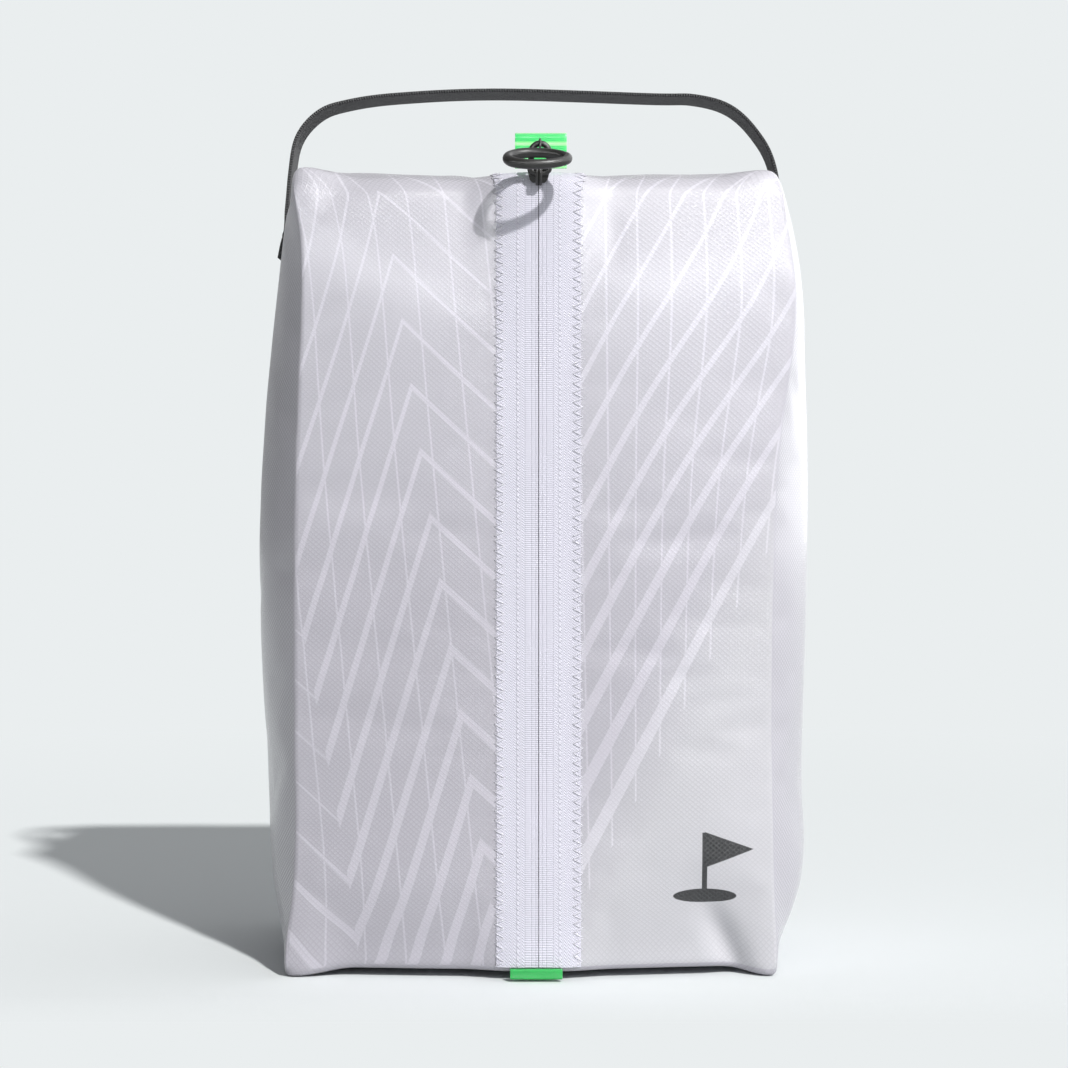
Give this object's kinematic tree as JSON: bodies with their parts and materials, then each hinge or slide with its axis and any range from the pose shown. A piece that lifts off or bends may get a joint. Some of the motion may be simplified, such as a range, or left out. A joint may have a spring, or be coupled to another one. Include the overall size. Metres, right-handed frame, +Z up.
{
  "type": "golf shoe bag",
  "caption": "Soft upright shoe bag with a full-height front zip, webbing carry handle, finger-ring zip puller and folded pull tabs at both ends of the zip.",
  "frame": {"origin": "on the floor under the middle of the flat base", "axes": "+Z up through the bag, +X to the bag's right as seen from the front, front zip faces -Y, +Y to the back"},
  "size_m": [0.253, 0.1668, 0.395],
  "materials": {
    "shell_fabric": "semi-gloss coated ripstop with a pale printed line lattice",
    "zip_tape": "matt woven tape",
    "zip_coil": "satin nylon coil",
    "white_thread": "sewing thread",
    "webbing": "matt herringbone webbing",
    "black_plastic": "satin black moulded",
    "green_film": "glossy translucent fluorescent film",
    "printed_film": "heat-transfer print",
    "seam_binding": "matt woven binding"
  },
  "bodies": {
    "root": {"back_panel": "shell_fabric", "left_side_panel": "shell_fabric", "right_side_panel": "shell_fabric", "top_panel": "shell_fabric", "base_panel": "shell_fabric", "left_front_binding": "seam_binding", "right_front_binding": "seam_binding", "left_back_binding": "seam_binding", "right_back_binding": "seam_binding", "top_seam_piping": "seam_binding", "base_seam_piping": "seam_binding", "zip_top_tape_end": "zip_tape", "zip_bottom_tape_end": "zip_tape", "zip_bottom_stop": "zip_coil", "zip_top_stop": "zip_coil", "left_handle_end": "webbing", "right_handle_end": "webbing", "left_handle_stitch": "webbing", "right_handle_stitch": "webbing"},
    "left_flap": {"front_left_panel": "shell_fabric", "left_zip_tape": "zip_tape", "left_zip_coil": "zip_coil", "left_zip_stitch": "white_thread"},
    "right_flap": {"front_right_panel": "shell_fabric", "right_zip_tape": "zip_tape", "right_zip_coil": "zip_coil", "right_zip_stitch": "white_thread", "front_badge": "printed_film"},
    "slider": {"zip_slider": "black_plastic"},
    "link": {"pull_link": "black_plastic"},
    "ring": {"pull_ring": "black_plastic"},
    "handle": {"carry_handle": "webbing"},
    "upper_tab": {"top_pull_tab": "green_film"},
    "lower_tab": {"bottom_pull_tab": "green_film"}
  },
  "joints": [
    {"name": "left_front_opening", "type": "hinge", "parent": "root", "child": "left_flap", "pos_m": [-0.103, -0.065, 0.17], "axis": [0, 0, -1], "range_deg": [0, 65]},
    {"name": "right_front_opening", "type": "hinge", "parent": "root", "child": "right_flap", "pos_m": [0.103, -0.065, 0.17], "axis": [0, 0, 1], "range_deg": [0, 65]},
    {"name": "zip_slide", "type": "slide", "parent": "root", "child": "slider", "axis": [0, 0, -1], "range_m": [0, 0.304]},
    {"name": "link_swing", "type": "hinge", "parent": "slider", "child": "link", "pos_m": [0.0026, -0.0764, 0.3445], "axis": [1, 0, 0], "range_deg": [0, 90]},
    {"name": "ring_swing", "type": "hinge", "parent": "link", "child": "ring", "pos_m": [0.0026, -0.0764, 0.35715], "axis": [1, 0, 0], "range_deg": [-120, 0]},
    {"name": "handle_swing", "type": "hinge", "parent": "root", "child": "handle", "pos_m": [0, 0, 0.35], "axis": [1, 0, 0], "range_deg": [-70, 70]},
    {"name": "upper_tab_flex", "type": "hinge", "parent": "root", "child": "upper_tab", "pos_m": [0.003, -0.061, 0.3497], "axis": [1, 0, 0], "range_deg": [-35, 30], "stiffness_Nm_per_rad": 0.002},
    {"name": "lower_tab_flex", "type": "hinge", "parent": "root", "child": "lower_tab", "pos_m": [0.001, -0.0739, 0.005], "axis": [-1, 0, 0], "range_deg": [0, 80], "stiffness_Nm_per_rad": 0.002}
  ]
}
